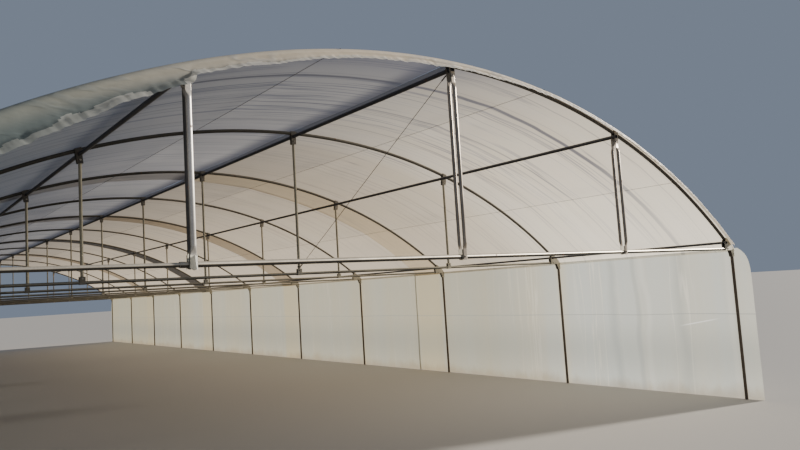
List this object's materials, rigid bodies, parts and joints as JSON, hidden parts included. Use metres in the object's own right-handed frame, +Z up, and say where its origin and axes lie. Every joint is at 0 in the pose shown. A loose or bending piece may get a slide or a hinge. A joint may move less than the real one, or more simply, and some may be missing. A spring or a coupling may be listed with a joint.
{
  "type": "polytunnel greenhouse",
  "caption": "Long hooped pipe-frame greenhouse under translucent plastic film, open at both ends, with film side walls, cross ties and struts in every frame.",
  "frame": {"origin": "on the ground, in the middle of the plan", "axes": "+X across the tunnel to the right seen from the near end, +Y along it away from the near end, +Z up"},
  "size_m": [10.267, 30.56, 3.8809],
  "materials": {
    "pipe_steel": "dull galvanised pipe with rust specks",
    "wire_steel": "dull wire",
    "plate_steel": "pressed galvanised plate",
    "roof_film": "milky translucent film with creases",
    "wall_film": "white translucent film with wrinkles and soil stains at the hem"
  },
  "bodies": {
    "root": {"near_arch": "pipe_steel", "far_arch": "pipe_steel", "inner_arches": "pipe_steel", "near_chord": "pipe_steel", "far_chord": "pipe_steel", "inner_chords": "pipe_steel", "left_posts": "pipe_steel", "right_posts": "pipe_steel", "near_king_post": "pipe_steel", "near_left_quarter_post": "pipe_steel", "near_right_quarter_post": "pipe_steel", "far_king_post": "pipe_steel", "far_left_quarter_post": "pipe_steel", "far_right_quarter_post": "pipe_steel", "king_posts": "pipe_steel", "left_quarter_posts": "pipe_steel", "right_quarter_posts": "pipe_steel", "ridge_purlin": "pipe_steel", "left_quarter_purlin": "pipe_steel", "right_quarter_purlin": "pipe_steel", "left_eave_rail": "pipe_steel", "right_eave_rail": "pipe_steel", "left_roof_wires": "wire_steel", "right_roof_wires": "wire_steel", "ridge_braces": "wire_steel", "ridge_brackets": "plate_steel", "left_quarter_brackets": "plate_steel", "right_quarter_brackets": "plate_steel", "ridge_saddles": "plate_steel", "left_saddles": "plate_steel", "right_saddles": "plate_steel", "left_eave_brackets": "plate_steel", "right_eave_brackets": "plate_steel", "left_roof_film": "roof_film", "right_roof_film": "roof_film", "near_film_apron": "roof_film", "far_film_apron": "roof_film", "left_wall_film": "wall_film", "right_wall_film": "wall_film"}
  },
  "joints": []
}
